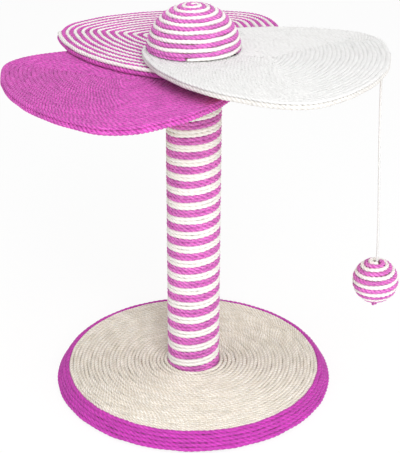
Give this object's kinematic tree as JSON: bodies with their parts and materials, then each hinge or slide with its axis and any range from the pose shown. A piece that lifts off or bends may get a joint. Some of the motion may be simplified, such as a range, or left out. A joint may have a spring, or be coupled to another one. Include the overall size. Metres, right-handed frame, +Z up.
{
  "type": "cat scratching post",
  "caption": "Rope-wound cat scratching post on a round base, with swivelling rope-covered petal shelves, a domed cap and a rope ball hung on a cord.",
  "frame": {"origin": "centre of the felt's underside, where the base stands on the floor", "axes": "+Z up along the post; -Y is the front, towards the camera; the uppermost petal points along +X, turned 21.3 degrees towards the front"},
  "size_m": [0.5295, 0.4744, 0.5529],
  "materials": {
    "magenta_sisal": "dyed twisted sisal rope",
    "natural_sisal": "undyed twisted sisal rope",
    "bleached_sisal": "bleached twisted sisal rope",
    "fibreboard": "raw sanded fibreboard",
    "cardboard": "spiral-wound paper tube",
    "softwood": "turned raw softwood",
    "felt": "needle felt",
    "zinc_steel": "zinc plated",
    "nylon": "moulded nylon",
    "cotton_cord": "twisted cotton cord"
  },
  "bodies": {
    "stand": {"base_felt": "felt", "base_board": "fibreboard", "base_top_sisal": "natural_sisal", "base_rim_sisal": "magenta_sisal", "base_bolt": "zinc_steel", "base_washer": "zinc_steel", "post_tube": "cardboard", "post_plug_bottom": "softwood", "post_plug_top": "softwood", "post_tee_nut_bottom": "zinc_steel", "post_tee_nut_top": "zinc_steel", "post_sisal_magenta": "magenta_sisal", "post_sisal_natural": "natural_sisal", "head_stud": "zinc_steel", "spacer_post": "nylon", "spacer_low": "nylon", "spacer_mid": "nylon", "spacer_dome": "nylon", "dome_core": "softwood", "dome_insert": "zinc_steel", "dome_sisal_magenta": "magenta_sisal", "dome_sisal_natural": "natural_sisal"},
    "low_petal": {"petal_low_board": "fibreboard", "petal_low_top_sisal": "magenta_sisal", "petal_low_rim_sisal": "magenta_sisal"},
    "mid_petal": {"petal_mid_board": "fibreboard", "petal_mid_rim_sisal": "magenta_sisal", "petal_mid_sisal_natural": "natural_sisal", "petal_mid_sisal_magenta": "magenta_sisal", "petal_mid_middle_sisal": "magenta_sisal"},
    "top_petal": {"petal_top_board": "fibreboard", "petal_top_top_sisal": "bleached_sisal", "petal_top_rim_sisal": "bleached_sisal"},
    "toy_knot": {"toy_top_knot": "cotton_cord"},
    "toy": {"toy_cord": "cotton_cord", "toy_ball_core": "softwood", "toy_ball_sisal_magenta": "magenta_sisal", "toy_ball_sisal_natural": "natural_sisal", "toy_end_knot": "magenta_sisal"}
  },
  "joints": [
    {"name": "low_petal_swivel", "type": "hinge", "parent": "stand", "child": "low_petal", "pos_m": [0, 0, 0.464], "axis": [0, 0, 1], "range_deg": [-30, 30]},
    {"name": "mid_petal_swivel", "type": "hinge", "parent": "stand", "child": "mid_petal", "pos_m": [0, 0, 0.4764], "axis": [0, 0, 1], "range_deg": [-30, 30]},
    {"name": "top_petal_swivel", "type": "hinge", "parent": "stand", "child": "top_petal", "pos_m": [0, 0, 0.4888], "axis": [0, 0, 1], "range_deg": [-30, 30]},
    {"name": "toy_swing_in_out", "type": "hinge", "parent": "top_petal", "child": "toy_knot", "pos_m": [0.23816, -0.05038, 0.48627], "axis": [0.207, 0.9783, 0], "range_deg": [-22, 22]},
    {"name": "toy_swing_sideways", "type": "hinge", "parent": "toy_knot", "child": "toy", "pos_m": [0.23816, -0.05038, 0.48627], "axis": [0.9783, -0.207, 0], "range_deg": [-22, 22]}
  ]
}
